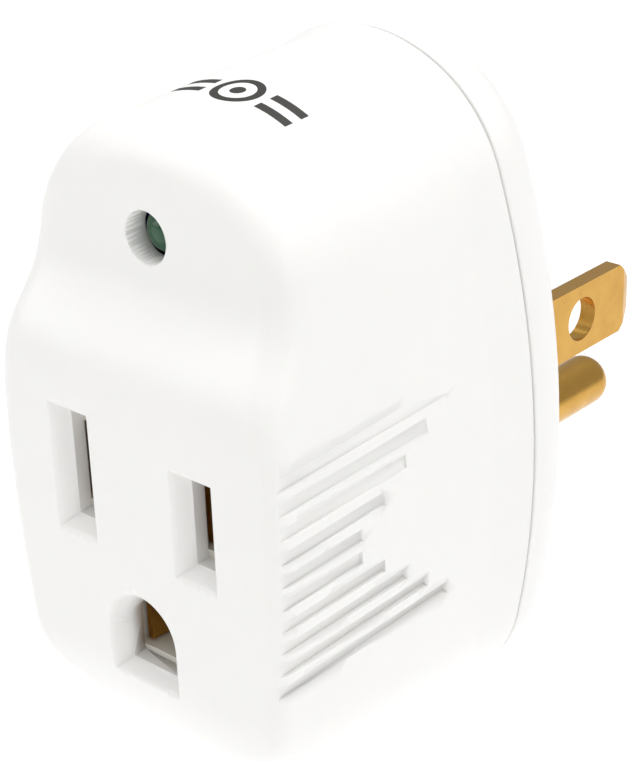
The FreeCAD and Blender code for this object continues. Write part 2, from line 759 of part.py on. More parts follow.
# ---------------------------------------------------------------- contacts and straps
def clip(name, side, half_width, web, pinch, low, high):
    """A folded spring clip: a web at the back, two leaves that pinch and then flare open."""
    body = new_body(name)
    axis = f"{side} * blade_pitch / 2"
    mouth = "-(body_depth - face_wall - clip_inset)"
    waist = "-(body_depth - face_wall - clip_inset - clip_flare)"
    knee = f"-({web} + clip_straight)"
    thick = "leaf_thickness"

    def leaf(sign):
        outside = [
            (f"{axis} {sign} {half_width}", f"-({web})"),
            (f"{axis} {sign} {half_width}", knee),
            (f"{axis} {sign} ({pinch} + {thick})", waist),
            (f"{axis} {sign} ({half_width} - clip_mouth_ease)", mouth),
        ]
        inside = [
            (f"{axis} {sign} ({half_width} - clip_mouth_ease - {thick})", mouth),
            (f"{axis} {sign} {pinch}", waist),
            (f"{axis} {sign} ({half_width} - {thick})", knee),
            (f"{axis} {sign} ({half_width} - {thick})", f"-({web} + {thick})"),
        ]
        return outside + inside

    outline = polygon(body, "top_view", "XY", low, leaf("+") + leaf("-")[::-1])
    pad(body, "strip", outline, f"{high} - ({low})")
    if side:
        hole = circles(body, "rivet_hole", "YZ", axis, [("-clip_rivet_depth", "0")], "rivet_radius")
        pocket(body, "rivet_drilling", hole, half_width + " + 1", reverse=side < 0)
    else:
        hole = circles(body, "rivet_hole", "XZ", web, [("0", "-earth_drop")], "rivet_radius")
        pocket(body, "rivet_drilling", hole, thick + " + 1", reverse=True)
    return body


def blade_strap(name, side):
    """A brass strap from the side of a contact to the side of a blade, cranked between them."""
    body = new_body(name)
    near_clip = "blade_pitch / 2 - clip_half_width"
    near_blade = "blade_pitch / 2 - blade_thickness / 2"
    thick = "strip_thickness"
    front, back = "-strap_front", "-(back_wall + holder_thickness + 2 * fit_gap)"
    crank_front, crank_back = "-crank_front", "-crank_back"
    outline = polygon(body, "top_view", "XY", "-strip_half_height", [
        (f"{side} * ({near_clip})", front), (f"{side} * ({near_clip})", crank_front),
        (f"{side} * ({near_blade})", crank_back), (f"{side} * ({near_blade})", back),
        (f"{side} * ({near_blade} - {thick})", back), (f"{side} * ({near_blade} - {thick})", crank_back),
        (f"{side} * ({near_clip} - {thick})", crank_front), (f"{side} * ({near_clip} - {thick})", front),
    ])
    pad(body, "strap", outline, "2 * strip_half_height")
    for label, reach in (("blade", "blade_rivet_depth"), ("clip", "clip_rivet_depth")):
        hole = circles(body, label + "_rivet_hole", "YZ", f"{side} * blade_pitch / 4", [(f"-{reach}", "0")],
                       "rivet_radius")
        pocket(body, label + "_rivet_drilling", hole, "blade_pitch / 2 + 2", midplane=True)
    return body


# ---------------------------------------------------------------- insulators
def contact_carrier():
    """Moulded block behind the outlet face, with a through pocket for each contact."""
    body = new_body("contact_carrier")
    front = "body_depth - face_wall"
    outline = rectangle(body, "outline", "XZ", front, ("-carrier_half_width", "carrier_bottom"),
                        ("carrier_half_width", "carrier_top"))
    pad(body, "block", outline, "carrier_depth", reverse=True)
    tall = "clip_half_height + fit_gap * 2"
    for name, side in (("neutral", -1), ("line", 1)):
        axis, half = f"{side} * blade_pitch / 2", "clip_half_width + fit_gap * 2"
        way = rectangle(body, name + "_way", "XZ", front, (f"{axis} - ({half})", f"-({tall})"),
                        (f"{axis} + {half}", tall))
        pocket(body, name + "_cell", way)
        inner = "blade_pitch / 2 - clip_half_width - strip_thickness - bay_clearance"
        outer = "blade_pitch / 2"
        low, high = (f"-({outer})", f"-({inner})") if side < 0 else (inner, outer)
        bay = rectangle(body, name + "_bay", "XZ", front + " - carrier_depth",
                        (low, f"-({tall})"), (high, tall))
        pocket(body, name + "_strap_bay", bay, "bay_depth", reverse=True)
    side, rise = "earth_clip_half_width + fit_gap * 2", "earth_clip_half_height + fit_gap * 2"
    way = rectangle(body, "earth_way", "XZ", front, (f"-({side})", f"-earth_drop - ({rise})"),
                    (side, f"-earth_drop + {rise}"))
    pocket(body, "earth_cell", way)
    return body


def blade_holder():
    """Moulded plate on the cover's floor that the blades and the pin pass through."""
    body = new_body("blade_holder")
    outline = rectangle(body, "outline", "XZ", "back_wall", ("-holder_half_width", "holder_bottom"),
                        ("holder_half_width", "holder_top"))
    pad(body, "plate", outline, "holder_thickness")
    half_thick, half_high = "blade_thickness / 2 + fit_gap / 2", "blade_height / 2 + fit_gap / 2"
    for name, side in (("neutral", -1), ("line", 1)):
        axis = f"{side} * blade_pitch / 2"
        slot = rectangle(body, name + "_slot", "XZ", "back_wall",
                         (f"{axis} - ({half_thick})", f"-({half_high})"), (f"{axis} + {half_thick}", half_high))
        pocket(body, name + "_opening", slot, reverse=True)
    hole = circles(body, "pin_hole", "XZ", "back_wall", [("0", "-earth_drop")], "pin_radius + fit_gap / 2")
    pocket(body, "pin_opening", hole, reverse=True)
    return body


def insulating_sheet():
    """A thin fibre sheet between the live straps and the circuit board."""
    body = new_body("insulating_sheet")
    front = "-(body_depth - face_wall * 3)"
    outline = rectangle(body, "outline", "XY", "carrier_top", ("-carrier_half_width", front),
                        ("carrier_half_width", "-sheet_back"))
    pad(body, "sheet", outline, "sheet_thickness")
    return body


# ---------------------------------------------------------------- circuit
def lead_spots():
    """Where a component lead goes through the board: pairs of X and depth formulas."""
    spots = []
    for side, depth in VARISTORS.values():
        for shift in ("+", "-"):
            spots.append((f"{side} * varistor_side", f"{depth} {shift} varistor_lead_offset"))
    for x, depth, reach in AXIAL_PARTS.values():
        for shift in ("+", "-"):
            spots.append((x, f"{depth} {shift} ({reach})"))
    for side in ("-", "+"):
        spots.append((f"{side}lamp_lead_offset", "lamp_lead_depth"))
    return spots


VARISTORS = {
    "varistor_line_neutral": ("1", "varistor_right_front"),
    "varistor_line_ground": ("1", "varistor_right_back"),
    "varistor_neutral_ground": ("-1", "varistor_left_front"),
}
AXIAL_PARTS = {
    "thermal_fuse": ("-fuse_side", "fuse_depth", "fuse_length / 2 + fuse_lead_run"),
    "lamp_resistor": ("small_part_side", "small_part_depth", "resistor_length / 2 + small_lead_run"),
    "lamp_diode": ("-small_part_side", "small_part_depth", "diode_length / 2 + small_lead_run"),
}


def circuit_board():
    """A single-sided board on two rails, drilled for every lead and wire."""
    body = new_body("circuit_board")
    outline = rectangle(body, "outline", "XY", "board_level",
                        ("-board_half_width", "-(board_back + board_length)"), ("board_half_width", "-board_back"))
    pad(body, "plate", outline, "board_thickness")
    spots = [(x, f"-({depth})") for x, depth in lead_spots()]
    holes = circles(body, "lead_holes", "XY", "board_level", spots, "lead_radius + fit_gap")
    pocket(body, "drilling", holes, reverse=True)
    return body


def cylinder(label, radius, length, place, axis):
    """A round bar from a place (formulas for X, depth, Z) along +X, +Y or +Z."""
    bar = doc.addObject("Part::Cylinder", label)
    bar.setExpression("Radius", bind(radius))
    bar.setExpression("Height", bind(length))
    turns = {"X": FreeCAD.Rotation(0, 90, 0), "Y": FreeCAD.Rotation(0, 0, -90), "Z": FreeCAD.Rotation()}
    x, depth, z = place
    bar.Placement = FreeCAD.Placement(FreeCAD.Vector(size(x), -size(depth), size(z)), turns[axis])
    return bar


def varistor(label, side, depth):
    """A blue epoxy-dipped disc on edge, its coating running a little way down each lead."""
    centre_z = "board_level + board_thickness + varistor_stand + varistor_radius"
    disc = cylinder(label + "_disc", "varistor_radius", "varistor_thickness",
                    (f"{side} * varistor_side - varistor_thickness / 2", depth, centre_z), "X")
    rounded = doc.addObject("Part::Fillet", label + "_dipped")
    rounded.Base = disc
    ease = size("varistor_edge_radius")
    doc.recompute()
    rims = [i for i, edge in enumerate(disc.Shape.Edges, start=1) if edge.BoundBox.XLength < 0.01]
    rounded.Edges = [(i, ease, ease) for i in rims]
    foot = "board_level + board_thickness + coating_inset"
    length = "varistor_stand + varistor_radius - coating_inset"
    legs = []
    for sign, shift in (("a", "+"), ("b", "-")):
        place = (f"{side} * varistor_side", f"{depth} {shift} varistor_lead_offset", foot)
        legs.append(cylinder(f"{label}_leg_{sign}", "coating_radius", length, place, "Z"))
    whole = doc.addObject("Part::MultiFuse", label)
    whole.Label = label
    whole.Shapes = [rounded] + legs
    return whole


def bent_rod(points, radius, bend):
    """A round rod along straight runs joined by tangent arcs of one radius."""
    edges = []
    start = points[0]
    for before, corner, after in zip(points, points[1:], points[2:]):
        inward = (before - corner).normalize()
        outward = (after - corner).normalize()
        half_turn = math.pi / 2 - inward.getAngle(outward) / 2
        reach = bend * math.tan(half_turn)
        enter, leave = corner + inward * reach, corner + outward * reach
        towards = (inward + outward).normalize()
        centre = corner + towards * (bend / math.cos(half_turn))
        edges.append(Part.LineSegment(start, enter).toShape())
        edges.append(Part.Arc(enter, centre - towards * bend, leave).toShape())
        start = leave
    edges.append(Part.LineSegment(start, points[-1]).toShape())
    path = Part.Wire(edges)
    first = points[1] - points[0]
    ring = Part.Wire(Part.makeCircle(radius, points[0], first))
    sweep = Part.BRepOffsetAPI.MakePipeShell(path)
    sweep.add(ring)
    sweep.build()
    sweep.makeSolid()
    return sweep.shape()


def spot(x, depth, z):
    """A point from formulas for X, depth and Z."""
    return FreeCAD.Vector(size(x), -size(depth), size(z))


BOARD_TOP = "board_level + board_thickness"
LEAD_FOOT = "board_level - lead_stub"
AXIAL_RISE = {"thermal_fuse": "fuse_rise", "lamp_resistor": "small_part_rise", "lamp_diode": "small_part_rise"}
AXIAL_HALF = {
    "thermal_fuse": "fuse_length / 2",
    "lamp_resistor": "resistor_length / 2",
    "lamp_diode": "diode_length / 2",
}


def component_leads():
    """Tinned wire leads of every part on the board, one solid each."""
    rods = []
    radius, bend = size("lead_radius"), size("lead_bend")
    for side, depth in VARISTORS.values():
        for shift in ("+", "-"):
            place = (f"{side} * varistor_side", f"{depth} {shift} varistor_lead_offset")
            foot = spot(place[0], place[1], LEAD_FOOT)
            rods.append(Part.makeCylinder(radius, size("board_thickness + coating_inset + lead_stub"), foot))
    for label, (x, depth, reach) in AXIAL_PARTS.items():
        level = f"{BOARD_TOP} + {AXIAL_RISE[label]}"
        for shift in ("+", "-"):
            end = f"{depth} {shift} {AXIAL_HALF[label]}"
            turn = f"{depth} {shift} ({reach})"
            corners = [spot(x, end, level), spot(x, turn, level), spot(x, turn, LEAD_FOOT)]
            rods.append(bent_rod(corners, radius, bend))
    for side in ("-", "+"):
        x = side + "lamp_lead_offset"
        rods.append(bent_rod([spot(x, "lamp_back", "lamp_level"), spot(x, "lamp_lead_depth", "lamp_level"),
                              spot(x, "lamp_lead_depth", LEAD_FOOT)], radius, bend))
    return put_part("component_leads", Part.makeCompound(rods))


def solder_joints():
    """A small fillet of solder round each lead, under the board."""
    cones = []
    radius = size("lead_radius")
    for x, depth in lead_spots():
        base = spot(x, depth, "board_level")
        cone = Part.makeCone(size("solder_foot_radius"), size("solder_tip_radius"), size("solder_height"), base,
                             FreeCAD.Vector(0, 0, -1))
        hole = Part.makeCylinder(radius, 2, base - FreeCAD.Vector(0, 0, 1))
        cones.append(cone.cut(hole).Solids[0])
    return put_part("solder_joints", Part.makeCompound(cones))


def thermal_fuse():
    """A small metal-cased thermal cut-off, tapered at both ends."""
    body = new_body("thermal_fuse")
    x, depth, _ = AXIAL_PARTS["thermal_fuse"]
    level = f"{BOARD_TOP} + {AXIAL_RISE['thermal_fuse']}"
    back, front = f"-({depth}) + fuse_length / 2", f"-({depth}) - fuse_length / 2"
    profile = polygon(body, "profile", "YZ", x, [
        (front, level), (front, f"{level} + fuse_end_radius"),
        (f"{front} + fuse_taper", f"{level} + fuse_radius"), (f"{back} - fuse_taper", f"{level} + fuse_radius"),
        (back, f"{level} + fuse_end_radius"), (back, level),
    ])
    revolve(body, "case", profile, "Edge6")
    return body


def fuse_sleeve():
    """A braided glass sleeve slipped over the thermal cut-off."""
    x, depth, _ = AXIAL_PARTS["thermal_fuse"]
    start = (x, f"{depth} + fuse_length / 2 - sleeve_inset", f"{BOARD_TOP} + {AXIAL_RISE['thermal_fuse']}")
    length = "fuse_length - 2 * sleeve_inset"
    outside = cylinder("sleeve_outside", "fuse_radius + sleeve_wall", length, start, "Y")
    inside = cylinder("sleeve_inside", "fuse_radius", length, start, "Y")
    sleeve = doc.addObject("Part::Cut", "fuse_sleeve")
    sleeve.Label = "fuse_sleeve"
    sleeve.Base = outside
    sleeve.Tool = inside
    return sleeve


def axial_body(label, length, end_radius, middle_radius):
    """A moulded axial part: two rounded end caps and a slimmer or equal middle."""
    body = new_body(label)
    x, depth, _ = AXIAL_PARTS[label]
    level = f"{BOARD_TOP} + {AXIAL_RISE[label]}"
    back, front = f"-({depth}) + {length} / 2", f"-({depth}) - {length} / 2"
    full, slim, eased = (f"{level} + {end_radius}", f"{level} + {middle_radius}",
                         f"{level} + {end_radius} - axial_ease")
    profile = polygon(body, "profile", "YZ", x, [
        (front, level), (front, eased), (f"{front} + axial_ease", full), (f"{front} + axial_cap", full),
        (f"{front} + axial_cap + axial_neck", slim), (f"{back} - axial_cap - axial_neck", slim),
        (f"{back} - axial_cap", full), (f"{back} - axial_ease", full), (back, eased), (back, level),
    ])
    revolve(body, "moulding", profile, "Edge10")
    return body


def indicator_lamp():
    """A green LED lying on its side, its dome in the lamp hole and its flange behind the holder."""
    body = new_body("indicator_lamp")
    tip, back = "-(body_depth - lamp_setback - lamp_tip_inset)", "-lamp_back"
    flange, rim, skin = f"{back} - lamp_flange", "lamp_level + lamp_radius + lamp_flange_rim", "lamp_level + lamp_radius"
    profile = polygon(body, "profile", "YZ", "0", [
        (tip, "lamp_level"), (tip, skin), (flange, skin), (flange, rim), (back, rim), (back, "lamp_level"),
    ])
    revolve(body, "moulding", profile, "Edge6")
    doc.recompute()
    front = size(tip)
    round_edges(body, "dome", lambda middle, edge: near(middle.y, front), "lamp_dome_radius")
    return body


def lamp_holder():
    """A black spacer that stands on the board and holds the LED at the height of its hole."""
    body = new_body("lamp_holder")
    foot = "lamp_back + lamp_flange + fit_gap"
    outline = rectangle(body, "outline", "XZ", foot, ("-lamp_holder_half_width", BOARD_TOP),
                        ("lamp_holder_half_width", "lamp_level + lamp_radius + lamp_holder_rim"))
    pad(body, "block", outline, "lamp_holder_thickness")
    bore = circles(body, "bore", "XZ", foot, [("0", "lamp_level")], "lamp_radius + fit_gap / 2")
    pocket(body, "drilling", bore, reverse=True)
    return body


# ---------------------------------------------------------------- wires, rivets, screws
def wire(label, corners):
    """An insulated hook-up wire between a strap and the board."""
    return put_part(label, bent_rod([spot(*corner) for corner in corners], size("wire_radius"), size("wire_bend")))


def ground_strap():
    """A brass yoke: peened on to the pin's tail at the back, riveted to the earth clip in front."""
    body = new_body("ground_strap")
    back = "-(back_wall + holder_thickness + pin_collar)"
    front = "-earth_clip_web_depth"
    thick = "strip_thickness"
    top = "-earth_drop + earth_clip_half_height + yoke_rise"
    foot = "-earth_drop - earth_clip_half_height"
    outline = polygon(body, "side_view", "YZ", "0", [
        (back, foot), (back, top), (front, top), (front, foot),
        (f"{front} + {thick}", foot), (f"{front} + {thick}", f"{top} - {thick}"),
        (f"{back} - {thick}", f"{top} - {thick}"), (f"{back} - {thick}", foot),
    ])
    pad(body, "yoke", outline, "yoke_width", midplane=True)
    middle = "earth_clip_web_depth - yoke_hole_reach"
    tail = circles(body, "tail_hole", "XZ", middle, [("0", "-earth_drop")], "pin_tail_radius")
    pocket(body, "tail_drilling", tail, "earth_clip_web_depth / 2")
    rivet = circles(body, "rivet_hole", "XZ", middle, [("0", "-earth_drop")], "rivet_radius")
    pocket(body, "rivet_drilling", rivet, "earth_clip_web_depth / 2", reverse=True)
    return body


def rivet(start, direction, grip, heads):
    """A brass rivet: a shank through the stack and a low head on each side."""
    radius, head_radius = size("rivet_radius"), size("rivet_head_radius")
    shank = Part.makeCylinder(radius, grip, start, direction)
    first = Part.makeCylinder(head_radius, heads[0], start - direction * heads[0], direction)
    last = Part.makeCylinder(head_radius, heads[1], start + direction * grip, direction)
    return shank.fuse([first, last]).removeSplitter().Solids[0]


def contact_rivets():
    """Rivets that join each spring clip to its strap."""
    rivets = []
    low_head, full_head = size("rivet_low_head"), size("rivet_head")
    grip = size("strip_thickness + leaf_thickness")
    for side in (-1, 1):
        outward = FreeCAD.Vector(side, 0, 0)
        inner = f"{side} * (blade_pitch / 2 - clip_half_width - strip_thickness)"
        rivets.append(rivet(spot(inner, "clip_rivet_depth", "0"), outward, grip, (full_head, low_head)))
    start = spot("0", "earth_clip_web_depth - strip_thickness", "-earth_drop")
    rivets.append(rivet(start, FreeCAD.Vector(0, -1, 0), grip, (full_head, low_head)))
    return put_part("contact_rivets", Part.makeCompound(rivets))


def blade_rivets():
    """Rivets that join each blade's tail to its strap."""
    rivets = []
    for side in (-1, 1):
        inner = f"{side} * (blade_pitch / 2 - blade_thickness / 2 - strip_thickness)"
        rivets.append(rivet(spot(inner, "blade_rivet_depth", "0"), FreeCAD.Vector(side, 0, 0),
                            size("strip_thickness + blade_thickness"), (size("rivet_head"),) * 2))
    return put_part("blade_rivets", Part.makeCompound(rivets))


def cover_screws():
    """Two pan-head self-tapping screws with a cross recess, sunk in wells in the cover."""
    screws = []
    seat, head, shank = size("screw_seat_depth"), size("screw_head"), size("screw_length")
    long, narrow = size("recess_length"), size("recess_width")
    for level in ("top_screw_level", "bottom_screw_level"):
        centre = FreeCAD.Vector(0, -seat, size(level))
        into = FreeCAD.Vector(0, -1, 0)
        straight = shank - size("screw_point")
        stem = Part.makeCylinder(size("screw_radius"), straight, centre, into)
        point = Part.makeCone(size("screw_radius"), size("screw_tip_radius"), size("screw_point"),
                              centre + into * straight, into)
        cap = Part.makeCylinder(size("screw_head_radius"), head, centre, FreeCAD.Vector(0, 1, 0))
        rim = [edge for edge in cap.Edges if near(edge.BoundBox.YMin, head - seat) and edge.BoundBox.YLength < 0.01]
        cap = cap.makeFillet(size("screw_head_ease"), rim)
        cross = []
        for length, width in ((long, narrow), (narrow, long)):
            corner = centre + FreeCAD.Vector(-length / 2, head - size("recess_depth"), -width / 2)
            cross.append(Part.makeBox(length, head, width, corner))
        screws.append(stem.fuse([point, cap]).cut(cross[0]).cut(cross[1]).removeSplitter().Solids[0])
    return put_part("cover_screws", Part.makeCompound(screws))


# ---------------------------------------------------------------- build, check, export
def earth_clip():
    return clip("ground_contact", 0, "earth_clip_half_width", "earth_clip_web_depth", "earth_clip_pinch",
                "-earth_drop - earth_clip_half_height", "-earth_drop + earth_clip_half_height")


parts = [front_housing(), rear_cover()]
for name, side in (("neutral", -1), ("line", 1)):
    parts.append(blade(name + "_blade", side))
    parts.append(clip(name + "_contact", side, "clip_half_width", "clip_web_depth", "clip_pinch",
                      "-clip_half_height", "clip_half_height"))
    parts.append(blade_strap(name + "_strap", side))
parts += [ground_pin(), earth_clip(), ground_strap(), contact_carrier(), blade_holder(), insulating_sheet()]
parts.append(circuit_board())
parts += [varistor(label, side, depth) for label, (side, depth) in VARISTORS.items()]
parts += [thermal_fuse(), fuse_sleeve()]
parts.append(axial_body("lamp_resistor", "resistor_length", "resistor_radius", "resistor_waist_radius"))
parts.append(axial_body("lamp_diode", "diode_length", "diode_radius", "diode_waist_radius"))
parts += [indicator_lamp(), lamp_holder(), component_leads(), solder_joints()]
parts.append(wire("neutral_wire", [
    ("-wire_side", "wire_depth", "strip_half_height"), ("-wire_side", "wire_depth", "wire_low_turn"),
    ("-neutral_wire_foot", "wire_depth - neutral_wire_run", "wire_high_turn"),
    ("-neutral_wire_foot", "wire_depth - neutral_wire_run", "board_level")]))
parts.append(wire("line_wire", [
    ("wire_side", "wire_depth", "strip_half_height"), ("wire_side", "wire_depth", "wire_low_turn"),
    ("line_wire_foot", "wire_depth - line_wire_run", "wire_high_turn"),
    ("line_wire_foot", "wire_depth - line_wire_run", "board_level")]))
parts.append(wire("ground_wire", [
    ("0", "wire_depth - 2", "-earth_drop + earth_clip_half_height + yoke_rise"), ("0", "wire_depth - 2", "0"),
    ("-ground_wire_foot", "wire_depth - ground_wire_run", "ground_wire_turn"),
    ("-ground_wire_foot", "wire_depth - ground_wire_run", "board_level")]))
parts += [contact_rivets(), blade_rivets(), cover_screws()]
doc.recompute()

for item in doc.Objects:
    if "Invalid" in item.State or "Error" in item.State:
        raise ValueError(f"{item.Name} failed: {item.State}")
for part in parts:
    if part.Shape.isNull() or not part.Shape.isValid():
        raise ValueError(part.Label + " has no valid shape")

os.makedirs("parts", exist_ok=True)
for part in parts:
    part.Shape.exportStep(f"parts/{part.Label}.step")
    print(part.Label, len(part.Shape.Solids), round(part.Shape.Volume, 1))
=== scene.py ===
import math

import bpy
import bmesh
import numpy as np
from mathutils import Matrix, Vector


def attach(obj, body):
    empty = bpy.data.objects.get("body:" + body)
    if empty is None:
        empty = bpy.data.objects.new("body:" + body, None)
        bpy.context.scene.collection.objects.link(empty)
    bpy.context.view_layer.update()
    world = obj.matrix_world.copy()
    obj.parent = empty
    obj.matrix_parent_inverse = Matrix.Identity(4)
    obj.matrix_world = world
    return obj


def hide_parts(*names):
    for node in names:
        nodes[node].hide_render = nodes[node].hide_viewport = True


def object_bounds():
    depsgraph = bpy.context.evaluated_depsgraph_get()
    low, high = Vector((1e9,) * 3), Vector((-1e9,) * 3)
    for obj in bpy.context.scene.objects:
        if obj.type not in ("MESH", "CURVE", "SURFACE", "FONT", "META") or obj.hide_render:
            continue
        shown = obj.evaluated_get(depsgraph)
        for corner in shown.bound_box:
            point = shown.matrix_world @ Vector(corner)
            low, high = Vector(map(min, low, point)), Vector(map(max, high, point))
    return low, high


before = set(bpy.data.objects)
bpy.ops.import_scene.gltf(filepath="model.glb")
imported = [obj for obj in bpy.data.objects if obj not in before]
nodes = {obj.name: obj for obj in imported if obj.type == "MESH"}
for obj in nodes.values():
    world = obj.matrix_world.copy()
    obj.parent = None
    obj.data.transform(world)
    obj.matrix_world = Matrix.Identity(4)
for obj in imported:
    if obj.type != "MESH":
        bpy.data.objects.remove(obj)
cad_low, cad_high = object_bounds()
scene = bpy.context.scene
MM = 0.001


# ------------------------------------------------------------------ camera
# A long lens, to the right of the outlet face and a little above it, turned slightly
# anticlockwise. It aims at a point inside the body.
AIM = Vector((0.0, -15.5, -5.0)) * MM
CAMERA_DISTANCE = 167.5 * MM
CAMERA_AZIMUTH, CAMERA_ELEVATION, CAMERA_ROLL = (math.radians(a) for a in (42.596, 25.40, -2.201))
CAMERA_SLIDE = (0.207 * MM, -6.048 * MM)
SENSOR_MM = 36.0
LENS_MM = 95.72

camera_data = bpy.data.cameras.new("camera")
camera_data.sensor_width = SENSOR_MM
camera_data.lens = LENS_MM
camera_data.clip_start, camera_data.clip_end = 0.01, 10.0
camera = bpy.data.objects.new("camera", camera_data)
scene.collection.objects.link(camera)
scene.camera = camera
away = Vector((math.sin(CAMERA_AZIMUTH) * math.cos(CAMERA_ELEVATION),
               -math.cos(CAMERA_AZIMUTH) * math.cos(CAMERA_ELEVATION),
               math.sin(CAMERA_ELEVATION)))
flat_right = (-away).cross(Vector((0, 0, 1))).normalized()
flat_down = (-away).cross(flat_right)
cos_roll, sin_roll = math.cos(CAMERA_ROLL), math.sin(CAMERA_ROLL)
right = flat_right * cos_roll - flat_down * sin_roll
down = flat_right * sin_roll + flat_down * cos_roll
place = AIM + away * CAMERA_DISTANCE + right * CAMERA_SLIDE[0] + down * CAMERA_SLIDE[1]
camera.matrix_world = Matrix((
    (right.x, -down.x, away.x, place.x),
    (right.y, -down.y, away.y, place.y),
    (right.z, -down.z, away.z, place.z),
    (0, 0, 0, 1),
))


# ------------------------------------------------------------------ paper sweep and light
# A white paper floor well below the part, one large softbox overhead, one at the front left,
# a weaker one on the right, and a white room that fills the shadows.
def linear(hex_colour):
    """A linear RGBA colour from an sRGB hex value."""
    parts = [int(hex_colour[i:i + 2], 16) / 255 for i in (1, 3, 5)]
    return [c / 12.92 if c <= 0.04045 else ((c + 0.055) / 1.055) ** 2.4 for c in parts] + [1.0]


def add(tree, kind, **given):
    """Adds a shader node. Each given value is a link from another node's socket, one of the
    node's own settings, or a socket's value; _0, _1 name sockets by their number."""
    node = tree.nodes.new("ShaderNode" + kind)
    for name, value in given.items():
        key = int(name[1:]) if name[0] == "_" else name.replace("_", " ")
        if isinstance(value, bpy.types.NodeSocket):
            tree.links.new(value, node.inputs[key])
        elif name[0] != "_" and hasattr(node, name):
            setattr(node, name, value)
        else:
            node.inputs[key].default_value = value
    return node


def new_material(name):
    """A node material with an empty tree, and that tree."""
    material = bpy.data.materials.new(name)
    material.use_nodes = True
    material.node_tree.nodes.clear()
    return material, material.node_tree


def finish_material(tree, shader):
    """Links the last shader to the material's output."""
    add(tree, "OutputMaterial", Surface=shader.outputs["BSDF"])


HALF_FLOOR = 1.6
FLOOR_Z = cad_low.z - 40 * MM
floor_mesh = bpy.data.meshes.new("floor")
floor_corners = [(x * HALF_FLOOR, y * HALF_FLOOR, FLOOR_Z) for x, y in ((-1, -1), (1, -1), (1, 1), (-1, 1))]
floor_mesh.from_pydata(floor_corners, [], [(0, 1, 2, 3)])
floor = bpy.data.objects.new("floor", floor_mesh)
scene.collection.objects.link(floor)
# Uncoated white paper: matt, with a faint cloudy formation a few millimetres across, and lit
# through from below like a shooting table.
paper, tree = new_material("uncoated_white_paper")
where = add(tree, "TexCoord").outputs["Object"]
cloud = add(tree, "TexNoise", Vector=where, Scale=1 / (4 * MM), Detail=3.0)
tint = add(tree, "MapRange", Value=cloud.outputs["Fac"], To_Min=0.93, To_Max=0.97)
finish_material(tree, add(tree, "BsdfPrincipled", Base_Color=tint.outputs["Result"], Roughness=0.9,
                          Specular_IOR_Level=0.2, Emission_Color=linear("#FFFFFF"), Emission_Strength=0.12))
floor_mesh.materials.append(paper)


def soft_light(name, place, aim, width, height, power):
    """A rectangular area light at a place in metres, turned to its aim."""
    data = bpy.data.lights.new(name, "AREA")
    data.shape = "RECTANGLE"
    data.size, data.size_y, data.energy = width, height, power
    light = bpy.data.objects.new(name, data)
    light.location = place
    light.rotation_mode = "QUATERNION"
    light.rotation_quaternion = (Vector(aim) - Vector(place)).to_track_quat("-Z", "Y")
    scene.collection.objects.link(light)


centre = (0, -15 * MM, 0)
soft_light("overhead_softbox", (0.05, 0.05, 0.60), centre, 0.55, 0.55, 3.4)
soft_light("front_left_softbox", (-0.45, -0.50, 0.25), centre, 0.40, 0.50, 0.9)
soft_light("right_softbox", (0.60, -0.15, 0.20), centre, 0.35, 0.50, 0.5)
world = bpy.data.worlds.new("white_room")
scene.world = world
world.use_nodes = True
world.node_tree.nodes["Background"].inputs["Color"].default_value = (1, 1, 1, 1)
world.node_tree.nodes["Background"].inputs["Strength"].default_value = 0.50
scene.view_settings.view_transform = "Standard"


# ------------------------------------------------------------------ front housing
# The shell that is held: white ABS, injection moulded in one shot, with the outlet openings, the
# lamp hole and ten finger grips a side. Its outside has no sharp edge but at the openings.
BODY_DEPTH = 35.5
SEAM_DEPTH, SEAM_GAP, WAIST_DEPTH = 7.6, 0.2, 12.1
SEAM_LIP = 0.2
FACE_BOTTOM, CHIN_RUN, CHIN_RISE = -17.6, 4.0, 6.4
SKIN_SHRINK = 0.03


